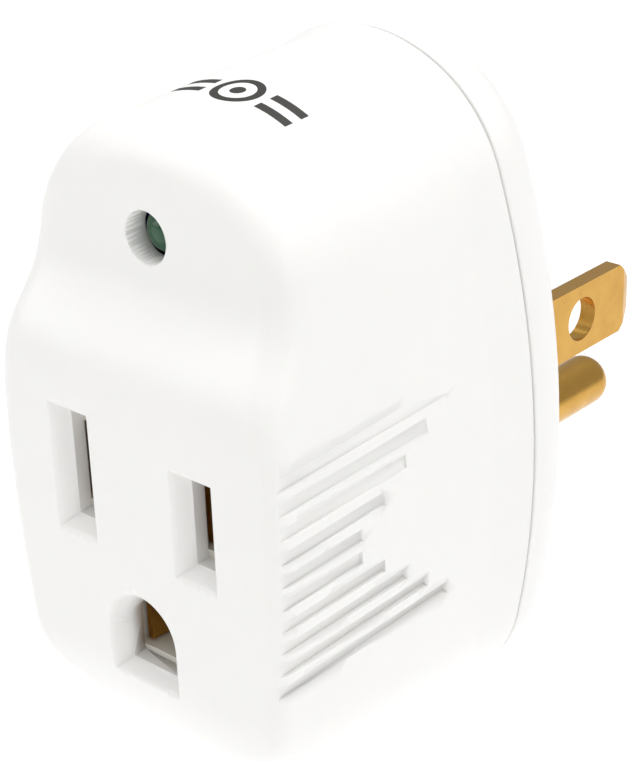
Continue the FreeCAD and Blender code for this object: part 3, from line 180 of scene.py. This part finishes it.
def outline(half, top, bottom, mid, side, crown, corner, chin, jaw, inset=0.0, count=24):
    """The body's outline seen from the room, in mm, as points that run counter-clockwise.

    Eight arcs, each tangent to the next: the side arc's centre is (half - side, mid), the crown's
    (0, top - crown), the chin's (0, bottom + chin). A corner arc touches its two neighbours from
    inside, so its centre lies where circles of their radii less its own cross. The left half is
    the right half mirrored, and an inset shortens every radius.
    """
    def cross(a, a_radius, b, b_radius, sign):
        gap = b - a
        span = math.hypot(*gap)
        along = (a_radius ** 2 - b_radius ** 2 + span ** 2) / (2 * span)
        off = math.sqrt(max(a_radius ** 2 - along ** 2, 0.0))
        step = gap / span
        both = [a + step * along + np.array([-step[1], step[0]]) * s * off for s in (-1, 1)]
        return max(both, key=lambda spot: sign * spot[1])

    def touch(centre, radius, small):
        return centre + (small - centre) / math.hypot(*(small - centre)) * radius

    def arc(centre, radius, start, end):
        first, last = (math.atan2(*(spot - centre)[::-1]) for spot in (start, end))
        turn = np.linspace(first, last + (2 * math.pi if last < first else 0), count)
        return np.c_[centre[0] + radius * np.cos(turn), centre[1] + radius * np.sin(turn)]

    half, top, bottom = half - inset, top - inset, bottom + inset
    side, crown, corner, chin, jaw = (r - inset for r in (side, crown, corner, chin, jaw))
    right_spot = np.array([half - side, mid])
    upper_spot, lower_spot = np.array([0.0, top - crown]), np.array([0.0, bottom + chin])
    corner_spot = cross(right_spot, side - corner, upper_spot, crown - corner, 1)
    jaw_spot = cross(right_spot, side - jaw, lower_spot, chin - jaw, -1)
    chin_end, side_low = touch(lower_spot, chin, jaw_spot), touch(right_spot, side, jaw_spot)
    side_top, crown_end = touch(right_spot, side, corner_spot), touch(upper_spot, crown, corner_spot)
    right_half = np.vstack([
        arc(lower_spot, chin, np.array([0.0, bottom]), chin_end)[:-1],
        arc(jaw_spot, jaw, chin_end, side_low)[:-1],
        arc(right_spot, side, side_low, side_top)[:-1],
        arc(corner_spot, corner, side_top, crown_end)[:-1],
        arc(upper_spot, crown, crown_end, np.array([0.0, top])),
    ])
    left_half = right_half[::-1] * [-1, 1]
    return np.vstack([right_half, left_half[1:-1]])


FRONT = dict(half=14.6, top=27.3, bottom=-23.8, mid=1.0,
             side=120.0, crown=26.0, corner=11.5, chin=40.0, jaw=9.2)
WAIST = dict(half=15.7, top=29.1, bottom=-26.3, mid=-2.0,
             side=78.0, crown=14.6, corner=13.0, chin=28.0, jaw=10.4)
RIM = dict(half=16.5, top=29.6, bottom=-27.2, mid=-2.4,
           side=75.0, crown=14.4, corner=12.8, chin=21.0, jaw=11.0)
front_line, waist_line, rim_line = outline(**FRONT), outline(**WAIST), outline(**RIM)
AXIS_Z = 1.0


def barrel_ring(depth, crease_ease=0.5):
    """The outline at a depth from the wall, in mm.

    Straight lines join the front outline to the waist and the waist to the rim. The crease where
    they meet is eased: the change of slope comes in as (x - sqrt(x^2 + k^2)) / 2.
    """
    slope = (front_line - waist_line) / (BODY_DEPTH - WAIST_DEPTH)
    flare = (waist_line - rim_line) / (WAIST_DEPTH - SEAM_DEPTH + SEAM_GAP / 2)
    x = depth - WAIST_DEPTH
    ring = waist_line + slope * x + (flare - slope) * (x - math.sqrt(x * x + crease_ease ** 2)) / 2
    lip = max(0.0, 1 - (depth - SEAM_DEPTH - SEAM_GAP / 2) / SEAM_LIP)
    pull = SKIN_SHRINK + SEAM_LIP * (1 - math.sqrt(max(0.0, 1 - min(lip, 1.0) ** 2)))
    spokes = ring - [0.0, AXIS_Z]
    return ring - spokes / np.hypot(*spokes.T)[:, None] * pull


def eased_step(level):
    """How far the front lies behind the outlet face at a level: 0 below, 3.4 mm above, and an
    S between them, a straight ramp that meets both with 8 mm arcs."""
    low, high, drop, radius = 10.4, 15.8, 3.4, 8.0
    tilt = math.atan2(drop, high - low)
    reach = radius * math.tan(tilt / 2)
    ramp = (level - low) * math.tan(tilt)
    rise = radius - np.sqrt(np.maximum(radius ** 2 - np.clip(level - low + reach, 0, 2 * reach) ** 2, 0))
    fall = radius - np.sqrt(np.maximum(radius ** 2 - np.clip(high + reach - level, 0, 2 * reach) ** 2, 0))
    out = np.where(level < low - reach, 0.0, np.where(level < low + reach * math.cos(tilt), rise, ramp))
    out = np.where(level > high - reach * math.cos(tilt), drop - fall, out)
    return np.where(level > high + reach, drop, out)


LEVELS = np.linspace(26.0, BODY_DEPTH + 0.5, 12)
ANGLES = np.linspace(-math.pi, math.pi, 1441)


def polar(ring):
    """A ring's distance from the axis at each of ANGLES."""
    spokes = ring - [0.0, AXIS_Z]
    turn = np.arctan2(spokes[:, 1], spokes[:, 0])
    order = np.argsort(turn)
    return np.interp(ANGLES, turn[order], np.hypot(*spokes.T)[order], period=2 * math.pi)


radius_table = np.array([polar(barrel_ring(level)) for level in LEVELS])
slope_table = np.gradient(radius_table[6], ANGLES) / radius_table[6]


def skin_field(x, depth, z):
    """About how far a point, in mm, lies outside the front end: below 0 inside.

    The largest of the distances to the barrel, the stepped face and the chin plane, with the
    edges between them rounded: min(-r, max(a, b)) + hypot(max(a + r, 0), max(b + r, 0)).
    """
    turn = np.arctan2(z - AXIS_Z, x)
    row = np.clip((depth - LEVELS[0]) / (LEVELS[1] - LEVELS[0]), 0, len(LEVELS) - 1.001)
    low_row = row.astype(int)
    share = row - low_row
    column = (turn + math.pi) / (ANGLES[1] - ANGLES[0])
    low_column = np.clip(column.astype(int), 0, len(ANGLES) - 2)
    part = column - low_column
    inner = radius_table[low_row, low_column] * (1 - part) + radius_table[low_row, low_column + 1] * part
    next_row = low_row + 1
    outer = radius_table[next_row, low_column] * (1 - part) + radius_table[next_row, low_column + 1] * part
    across = np.interp(turn, ANGLES, slope_table)
    side = (np.hypot(x, z - AXIS_Z) - inner * (1 - share) - outer * share) / np.sqrt(1 + across ** 2)
    behind = BODY_DEPTH - SKIN_SHRINK - depth
    ease = eased_step(z)
    lean = (eased_step(z + 0.05) - eased_step(z - 0.05)) / 0.1
    face = (ease - behind) / np.sqrt(1 + lean ** 2)
    chin = (-CHIN_RUN * (z - FACE_BOTTOM) - CHIN_RISE * behind) / math.hypot(CHIN_RUN, CHIN_RISE)

    def rounded(a, b, r):
        return np.minimum(-r, np.maximum(a, b)) + np.hypot(np.maximum(a + r, 0), np.maximum(b + r, 0))

    upper = np.clip((z - 4.0) / 10.0, 0, 1)
    lower = np.clip((-17.0 - z) / 5.0, 0, 1)
    edge = 1.65 + 1.35 * upper * upper * (3 - 2 * upper) + 1.6 * lower * lower * (3 - 2 * lower)
    return rounded(rounded(face, chin, 1.6), side, edge)


def closed_grid(name, rings):
    """A mesh from rings of equal count, each joined to the next by quads, the ends closed."""
    count = len(rings[0])
    spots = np.vstack(rings) * MM
    turn = np.arange(count)
    step = (turn + 1) % count
    faces = []
    for row in range(len(rings) - 1):
        base = row * count
        faces += np.c_[base + turn, base + step, base + count + step, base + count + turn].tolist()
    faces.append(turn[::-1].tolist())
    faces.append((turn + (len(rings) - 1) * count).tolist())
    mesh = bpy.data.meshes.new(name)
    mesh.from_pydata(spots.tolist(), [], faces)
    shape = bmesh.new()
    shape.from_mesh(mesh)
    bmesh.ops.recalc_face_normals(shape, faces=shape.faces)
    shape.to_mesh(mesh)
    shape.free()
    return mesh


def front_end_rings():
    """The front end's outside: straight barrel rings, then rings found along rays.

    Rays leave a point on the axis inside the barrel, fan from sideways to forwards, and stop
    where skin_field is zero, found by halving. They crowd together at the rounded edge.
    """
    seam = SEAM_DEPTH + SEAM_GAP / 2
    depths = np.r_[7.3, seam, seam + 0.03, seam + 0.07, seam + 0.12, seam + 0.2, 8.6, 9.4, 10.2,
                   10.8, np.arange(11.2, 13.1, 0.2), 13.6, 14.4, 15.6, 17.2, 19.0, 21.0, 23.0, 25.0, 27.0]
    rings = []
    for depth in depths:
        ring = barrel_ring(depth)
        rings.append(np.c_[ring[:, 0], np.full(len(ring), -depth), ring[:, 1]])
    base_depth = depths[-1]
    spokes = barrel_ring(base_depth) - [0.0, AXIS_Z]
    spokes /= np.hypot(*spokes.T)[:, None]
    reach = np.hypot(*(barrel_ring(BODY_DEPTH - 2) - [0.0, AXIS_Z]).T)
    rim_z = AXIS_Z + spokes[:, 1] * reach
    rim_behind = np.maximum(eased_step(rim_z), np.maximum(-(rim_z - FACE_BOTTOM) * CHIN_RUN / CHIN_RISE, 0))
    edge_depth = BODY_DEPTH - rim_behind - base_depth
    side_rows = np.r_[np.linspace(0.1, 0.45, 4), np.linspace(0.5, 1.0, 14)]
    face_rows = np.r_[np.linspace(0.985, 0.75, 14), np.linspace(0.735, 0.04, 44)]
    targets = [(reach, edge_depth * row) for row in side_rows]
    targets += [(reach * row, edge_depth) for row in face_rows]
    for across, forward in targets:
        length = np.hypot(across, forward)
        ux, uz, ud = spokes[:, 0] * across / length, spokes[:, 1] * across / length, forward / length
        low, high = np.zeros(len(spokes)), np.full(len(spokes), 60.0)
        for _ in range(40):
            middle = (low + high) / 2
            outside = skin_field(ux * middle, base_depth + ud * middle, AXIS_Z + uz * middle) > 0
            high = np.where(outside, middle, high)
            low = np.where(outside, low, middle)
        rings.append(np.c_[ux * low, -(base_depth + ud * low), AXIS_Z + uz * low])
    return rings


def carve(name, node, rings):
    """A CAD node's mesh, merged, kept only where it lies inside the closed surface of rings: the
    surface gives the smooth outside, the node gives the openings and everything within."""
    mesh = nodes[node].data.copy()
    mesh.name = name
    mesh.materials.clear()
    shape = bmesh.new()
    shape.from_mesh(mesh)
    bmesh.ops.remove_doubles(shape, verts=shape.verts, dist=1e-6)
    shape.to_mesh(mesh)
    shape.free()
    piece = bpy.data.objects.new(name, mesh)
    scene.collection.objects.link(piece)
    skin = bpy.data.objects.new(name + "_skin", closed_grid(name + "_skin", rings))
    scene.collection.objects.link(skin)
    meet = piece.modifiers.new("meet", "BOOLEAN")
    meet.operation, meet.solver, meet.object = "INTERSECT", "EXACT", skin
    bpy.context.view_layer.update()
    carved = bpy.data.meshes.new_from_object(piece.evaluated_get(bpy.context.evaluated_depsgraph_get()))
    piece.modifiers.clear()
    piece.data = carved
    bpy.data.objects.remove(skin)
    carved.polygons.foreach_set("use_smooth", [True] * len(carved.polygons))
    carved.set_sharp_from_angle(angle=math.radians(32))
    return piece


housing = carve("front_housing_shell", "front_housing", front_end_rings())
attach(housing, "root")
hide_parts("front_housing")


def moulded_plastic(name, colour, roughness, grain_mm, grain_depth_mm, scatter):
    """Injection-moulded plastic: the tool's fine even grain as bump, faint flow mottling in
    colour and gloss, and a little light scattered below the surface."""
    material, tree = new_material(name)
    where = add(tree, "TexCoord").outputs["Object"]
    fine = add(tree, "TexNoise", Vector=where, Scale=1 / (grain_mm * MM), Detail=2.0, Roughness=0.6)
    flow = add(tree, "TexNoise", Vector=where, Scale=1 / (9 * MM), Detail=3.0, Roughness=0.55)
    base = linear(colour)
    darker = [c * 0.97 for c in base[:3]] + [1.0]
    shade = add(tree, "Mix", data_type="RGBA", _0=flow.outputs["Fac"], _6=darker, _7=base)
    rough = add(tree, "MapRange", Value=flow.outputs["Fac"], From_Min=0.3, From_Max=0.7,
                To_Min=roughness - 0.04, To_Max=roughness + 0.04)
    bump = add(tree, "Bump", Height=fine.outputs["Fac"], Distance=grain_depth_mm * MM, Strength=1.0)
    shader = add(tree, "BsdfPrincipled", Base_Color=shade.outputs[2], Roughness=rough.outputs["Result"],
                 Normal=bump.outputs["Normal"], IOR=1.54, Subsurface_Weight=scatter,
                 Subsurface_Scale=0.8 * MM)
    shader.inputs["Subsurface Radius"].default_value = (1.0, 0.85, 0.7)
    finish_material(tree, shader)
    return material


# White ABS, moulded in a lightly grained tool: a soft satin shine, slightly warm where thick.
housing_abs = moulded_plastic("white_abs_satin_moulded", "#F4F3F1", 0.34, 0.25, 0.005, 0.15)
housing.data.materials.append(housing_abs)

# A pad-printed mark on the crown, in matt black ink a few hundredths of a millimetre thick: a
# ring with a dot in it and two bars on each side. The ink lies only where the crown faces up.
INK_CENTRE = (0.6, -22.6)
RING_RADIUS, RING_HALF_LINE, DOT_RADIUS = 1.75, 0.33, 0.62
BAR_MIDDLE, BAR_HALF_LENGTH, BAR_OFF_AXIS, BAR_HALF_LINE = 4.2, 1.5, 0.85, 0.42
CROWN_FLOOR = 23 * MM
tree = housing_abs.node_tree
body = next(node for node in tree.nodes if node.type == "BSDF_PRINCIPLED")
where = add(tree, "TexCoord").outputs["Object"]
spot = add(tree, "SeparateXYZ", Vector=where)
facing = add(tree, "SeparateXYZ", Vector=add(tree, "NewGeometry").outputs["Normal"])
across = add(tree, "Math", operation="MULTIPLY_ADD", _0=spot.outputs["X"], _1=1 / MM, _2=-INK_CENTRE[0])
along = add(tree, "Math", operation="MULTIPLY_ADD", _0=spot.outputs["Y"], _1=1 / MM, _2=-INK_CENTRE[1])
flat = add(tree, "CombineXYZ", X=across.outputs[0], Y=along.outputs[0])
from_centre = add(tree, "VectorMath", operation="LENGTH", _0=flat.outputs["Vector"])
ring_off = add(tree, "Math", operation="SUBTRACT", _0=from_centre.outputs["Value"], _1=RING_RADIUS)
ring_ink = add(tree, "Math", operation="COMPARE", _0=ring_off.outputs[0], _1=0.0, _2=RING_HALF_LINE)
dot_ink = add(tree, "Math", operation="LESS_THAN", _0=from_centre.outputs["Value"], _1=DOT_RADIUS)
outward = add(tree, "Math", operation="ABSOLUTE", _0=across.outputs[0])
bar_x = add(tree, "Math", operation="COMPARE", _0=outward.outputs[0], _1=BAR_MIDDLE, _2=BAR_HALF_LENGTH)
bar_y = add(tree, "Math", operation="ABSOLUTE", _0=along.outputs[0])
bar_thin = add(tree, "Math", operation="COMPARE", _0=bar_y.outputs[0], _1=BAR_OFF_AXIS, _2=BAR_HALF_LINE)
bar_ink = add(tree, "Math", operation="MULTIPLY", _0=bar_x.outputs[0], _1=bar_thin.outputs[0])
any_ink = add(tree, "Math", operation="MAXIMUM", _0=ring_ink.outputs[0], _1=dot_ink.outputs[0])
any_ink = add(tree, "Math", operation="MAXIMUM", _0=any_ink.outputs[0], _1=bar_ink.outputs[0])
up = add(tree, "Math", operation="GREATER_THAN", _0=facing.outputs["Z"], _1=0.6)
high = add(tree, "Math", operation="GREATER_THAN", _0=spot.outputs["Z"], _1=CROWN_FLOOR)
inked = add(tree, "Math", operation="MULTIPLY", _0=up.outputs[0], _1=high.outputs[0])
inked = add(tree, "Math", operation="MULTIPLY", _0=inked.outputs[0], _1=any_ink.outputs[0])
plain = body.inputs["Base Color"].links[0].from_socket
colour = add(tree, "Mix", data_type="RGBA", _0=inked.outputs[0], _6=plain, _7=linear("#26241F"))
tree.links.new(colour.outputs[2], body.inputs["Base Color"])
satin = body.inputs["Roughness"].links[0].from_socket
gloss = add(tree, "Mix", data_type="FLOAT", _0=inked.outputs[0], _2=satin, _3=0.55)
tree.links.new(gloss.outputs[0], body.inputs["Roughness"])


def dress(name, material):
    """Gives a CAD node its material in place of the imported one."""
    mesh = nodes[name].data
    mesh.materials.clear()
    mesh.materials.append(material)


# ------------------------------------------------------------------ rear cover
# The same white ABS in a second moulding: a shallow bowl with a fully rounded edge, pushed into
# the housing by its tongue and held by two screws from the wall side.
def cover_rings():
    """The cover's outside: the rim outline at every depth, drawn in by a quarter circle of
    6.6 mm at the back and by one of 0.2 mm at the seam."""
    seam, back, lip = SEAM_DEPTH - SEAM_GAP / 2, 6.6, SEAM_LIP
    rings = []
    for turn in np.linspace(0.001, math.pi / 2, 26):
        inset = back * (1 - math.sin(turn)) + SKIN_SHRINK
        ring = outline(**RIM, inset=inset)
        place_y = -SKIN_SHRINK - back * (1 - math.cos(turn))
        rings.append(np.c_[ring[:, 0], np.full(len(ring), place_y), ring[:, 1]])
    for turn in np.linspace(0, math.pi / 2, 6):
        ring = outline(**RIM, inset=SKIN_SHRINK + lip * (1 - math.cos(turn)))
        rings.append(np.c_[ring[:, 0], np.full(len(ring), -(seam - lip + lip * math.sin(turn))), ring[:, 1]])
    ring = outline(**RIM, inset=SKIN_SHRINK + lip)
    rings.append(np.c_[ring[:, 0], np.full(len(ring), -seam - 4.0), ring[:, 1]])
    return rings


cover = carve("rear_cover_shell", "rear_cover", cover_rings())
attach(cover, "root")
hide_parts("rear_cover")
cover.data.materials.append(housing_abs)


# ------------------------------------------------------------------ blades and ground pin
# The plug's contacts: blades stamped from 1.5 mm brass strip, the pin turned from brass rod.
# Buffed but not lacquered, so bright where handled and browner in the hollows.
def drawn_metal(name, colour, roughness, along):
    """Rolled, drawn or plated metal: fine lines along one axis as bump, tarnish in soft patches."""
    material, tree = new_material(name)
    where = add(tree, "TexCoord").outputs["Object"]
    finer, longer = 1 / (0.15 * MM), 1 / (6 * MM)
    scale = [longer if axis == along else finer for axis in "XYZ"]
    stretch = add(tree, "Mapping", Vector=where, Scale=scale)
    lines = add(tree, "TexNoise", Vector=stretch.outputs["Vector"], Scale=1.0, Detail=3.0)
    tarnish = add(tree, "TexNoise", Vector=where, Scale=1 / (2.5 * MM), Detail=4.0, Roughness=0.6)
    base = linear(colour)
    dull = [base[0] * 0.72, base[1] * 0.64, base[2] * 0.55, 1.0]
    shade = add(tree, "Mix", data_type="RGBA", _0=tarnish.outputs["Fac"], _6=base, _7=dull)
    rough = add(tree, "MapRange", Value=tarnish.outputs["Fac"], From_Min=0.3, From_Max=0.7,
                To_Min=roughness - 0.06, To_Max=roughness + 0.1)
    bump = add(tree, "Bump", Height=lines.outputs["Fac"], Distance=0.012 * MM, Strength=1.0)
    finish_material(tree, add(tree, "BsdfPrincipled", Base_Color=shade.outputs[2], Metallic=1.0,
                              Roughness=rough.outputs["Result"], Normal=bump.outputs["Normal"]))
    return material


plug_brass = drawn_metal("buffed_yellow_brass", "#D9AC58", 0.22, "Y")
for node in ("neutral_blade", "line_blade", "ground_pin"):
    dress(node, plug_brass)


# ------------------------------------------------------------------ contacts, straps and rivets
# Folded spring clips and flat straps of thinner brass strip, duller than the plug, joined by
# brass rivets peened over at both ends.
strip_brass = drawn_metal("half_hard_brass_strip", "#C99A4A", 0.32, "Y")
for pole in ("neutral", "line", "ground"):
    dress(pole + "_contact", strip_brass)
    dress(pole + "_strap", strip_brass)
rivet_brass = drawn_metal("peened_brass_rivet", "#BE9145", 0.38, "Y")
for node in ("contact_rivets", "blade_rivets"):
    dress(node, rivet_brass)


# ------------------------------------------------------------------ contact carrier, blade holder, sheet
# Moulded blocks that hold the brass apart: cream nylon behind the outlet face, black phenolic
# behind the cover's slots, and brown vulcanised fibre between the contacts and the board.
dress("contact_carrier", moulded_plastic("cream_nylon_moulded", "#E9E6DC", 0.45, 0.3, 0.01, 0.1))
dress("blade_holder", moulded_plastic("black_phenolic_moulded", "#2A2A2C", 0.42, 0.3, 0.01, 0.0))
dress("lamp_holder", moulded_plastic("black_nylon_moulded", "#17171A", 0.5, 0.3, 0.01, 0.0))
dress("insulating_sheet", moulded_plastic("brown_vulcanised_fibre", "#6B4A2E", 0.7, 0.4, 0.02, 0.0))


# ------------------------------------------------------------------ circuit board and what stands on it
# Paper-phenolic board with three blue varistors, a thermal fuse in a woven sleeve, a resistor and
# a diode, their tinned leads soldered through it.
dress("circuit_board", moulded_plastic("paper_phenolic_board", "#B48A4A", 0.5, 0.4, 0.02, 0.0))
varistor_epoxy = moulded_plastic("blue_dipped_epoxy", "#1B4E96", 0.25, 0.9, 0.04, 0.0)
for node in ("varistor_line_neutral", "varistor_line_ground", "varistor_neutral_ground"):
    dress(node, varistor_epoxy)
dress("fuse_sleeve", moulded_plastic("glass_fibre_sleeve", "#E4E1D6", 0.75, 0.35, 0.06, 0.0))
dress("lamp_resistor", moulded_plastic("beige_resistor_lacquer", "#CDB487", 0.35, 0.5, 0.02, 0.0))
dress("lamp_diode", moulded_plastic("black_diode_epoxy", "#151516", 0.4, 0.4, 0.01, 0.0))
dress("neutral_wire", moulded_plastic("white_pvc_insulation", "#E6E6E2", 0.4, 0.5, 0.01, 0.0))
dress("line_wire", moulded_plastic("black_pvc_insulation", "#101011", 0.4, 0.5, 0.01, 0.0))
dress("ground_wire", moulded_plastic("green_pvc_insulation", "#2A6A35", 0.4, 0.5, 0.01, 0.0))
tinned = drawn_metal("tinned_copper_wire", "#C8C9CC", 0.3, "Y")
for node in ("component_leads", "solder_joints", "thermal_fuse"):
    dress(node, tinned)


# ------------------------------------------------------------------ indicator lamp
# A 3.8 mm LED with a tinted green epoxy dome, cast in one piece, just inside its hole.
lens, tree = new_material("green_tinted_epoxy_lens")
where = add(tree, "TexCoord").outputs["Object"]
cloud = add(tree, "TexNoise", Vector=where, Scale=1 / (1.5 * MM), Detail=2.0)
tone = add(tree, "Mix", data_type="RGBA", _0=cloud.outputs["Fac"], _6=linear("#17452C"), _7=linear("#2F7A4C"))
finish_material(tree, add(tree, "BsdfPrincipled", Base_Color=tone.outputs[2], Roughness=0.12, IOR=1.5,
                          Transmission_Weight=0.35))
dress("indicator_lamp", lens)


# ------------------------------------------------------------------ cover screws
# Two zinc-plated self-tapping screws, sunk in the cover's wells.
dress("cover_screws", drawn_metal("zinc_plated_steel", "#B9BBBE", 0.3, "X"))
